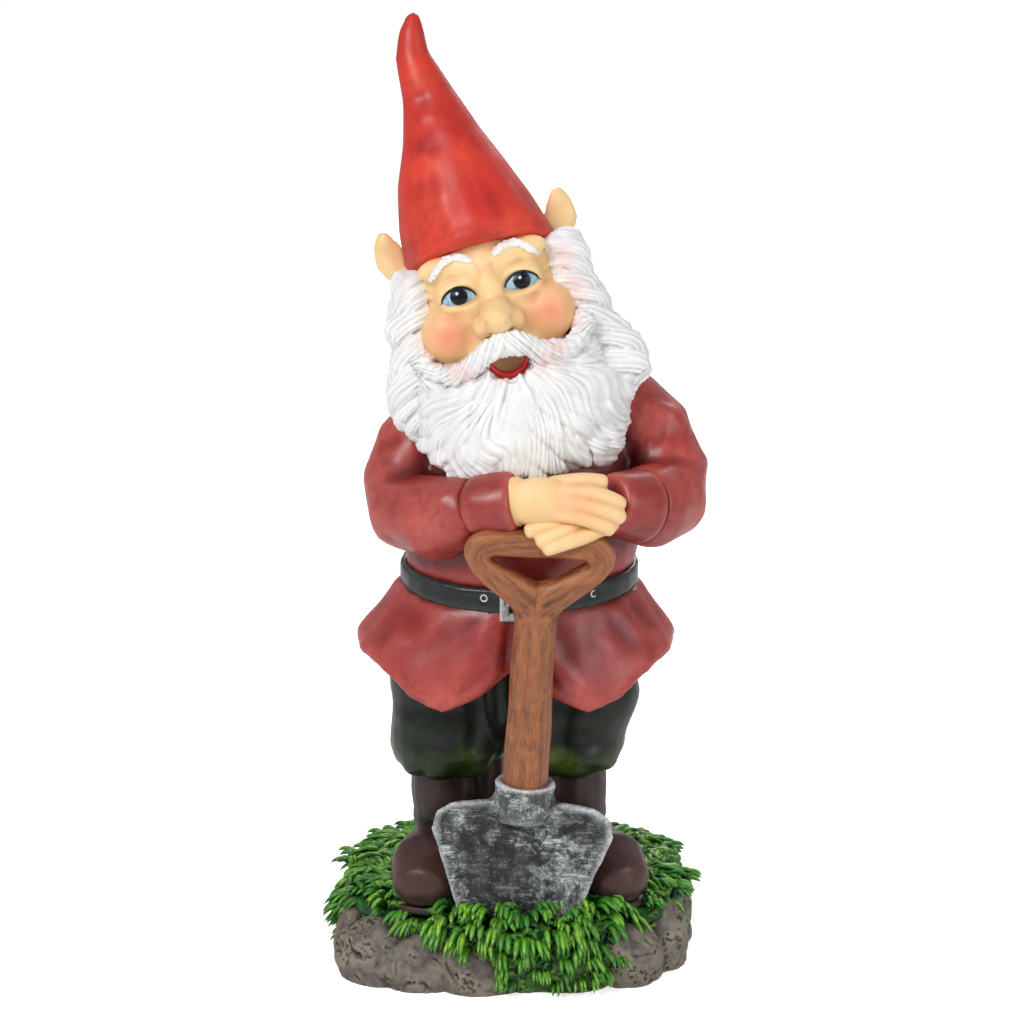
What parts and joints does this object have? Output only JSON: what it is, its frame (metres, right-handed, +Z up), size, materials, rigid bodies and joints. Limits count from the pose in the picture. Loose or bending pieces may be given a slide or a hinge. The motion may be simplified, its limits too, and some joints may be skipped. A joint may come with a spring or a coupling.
{
  "type": "garden gnome ornament",
  "caption": "Painted cast-resin garden gnome in a tall pointed hat, leaning with both hands on a spade, standing on an oval base of turf and stones.",
  "frame": {"origin": "centre of the bounding box in plan, on the flat underside of the base", "axes": "+Z up through the hat, -Y out of the gnome's front, +X to the gnome's left"},
  "size_m": [0.125, 0.108, 0.319],
  "materials": {
    "coat": "painted resin, satin",
    "hat": "painted resin, satin",
    "skin": "painted resin, satin",
    "hair": "painted resin, matt with a grey wash in the grooves",
    "eye": "gloss paint",
    "mouth": "painted resin, matt",
    "lip": "painted resin, satin",
    "trousers": "painted resin, satin",
    "boots": "painted resin, satin",
    "soles": "painted resin, matt",
    "belt": "painted resin, semi-gloss",
    "buckle": "silver paint on resin",
    "handle": "painted resin, wood-look, matt",
    "blade": "painted resin, iron-look with silver dry-brushing",
    "turf": "painted resin, matt",
    "stone": "painted resin, stone-look, matt",
    "steel": "bare mild steel rod"
  },
  "bodies": {
    "root": {"base_mound": "stone", "turf": "turf", "stone_front_right": "stone", "stone_front": "stone", "stone_front_left": "stone", "stone_left": "stone", "stone_back_left": "stone", "stone_back_right": "stone", "stone_right": "stone", "boot_sole_left": "soles", "boot_left": "boots", "trouser_leg_left": "trousers", "leg_rod_left": "steel", "boot_sole_right": "soles", "boot_right": "boots", "trouser_leg_right": "trousers", "leg_rod_right": "steel", "coat_body": "coat", "coat_skirt": "coat", "coat_sleeve_left": "coat", "coat_cuff_left": "coat", "coat_sleeve_right": "coat", "coat_cuff_right": "coat", "belt": "belt", "belt_buckle": "buckle", "buckle_prong": "buckle", "belt_eyelet_left": "buckle", "belt_eyelet_right": "buckle", "spade_blade": "blade", "spade_shaft": "handle", "spade_grip": "handle", "spade_rod": "steel", "hand_right": "skin", "hand_left": "skin", "head": "skin", "mouth": "mouth", "lower_lip": "lip", "moustache": "hair", "beard": "hair", "hair_back": "hair", "eye_left": "eye", "eyebrow_left": "hair", "ear_left": "skin", "hair_left": "hair", "eye_right": "eye", "eyebrow_right": "hair", "ear_right": "skin", "hair_right": "hair", "hat": "hat", "neck_rod": "steel"}
  },
  "joints": []
}
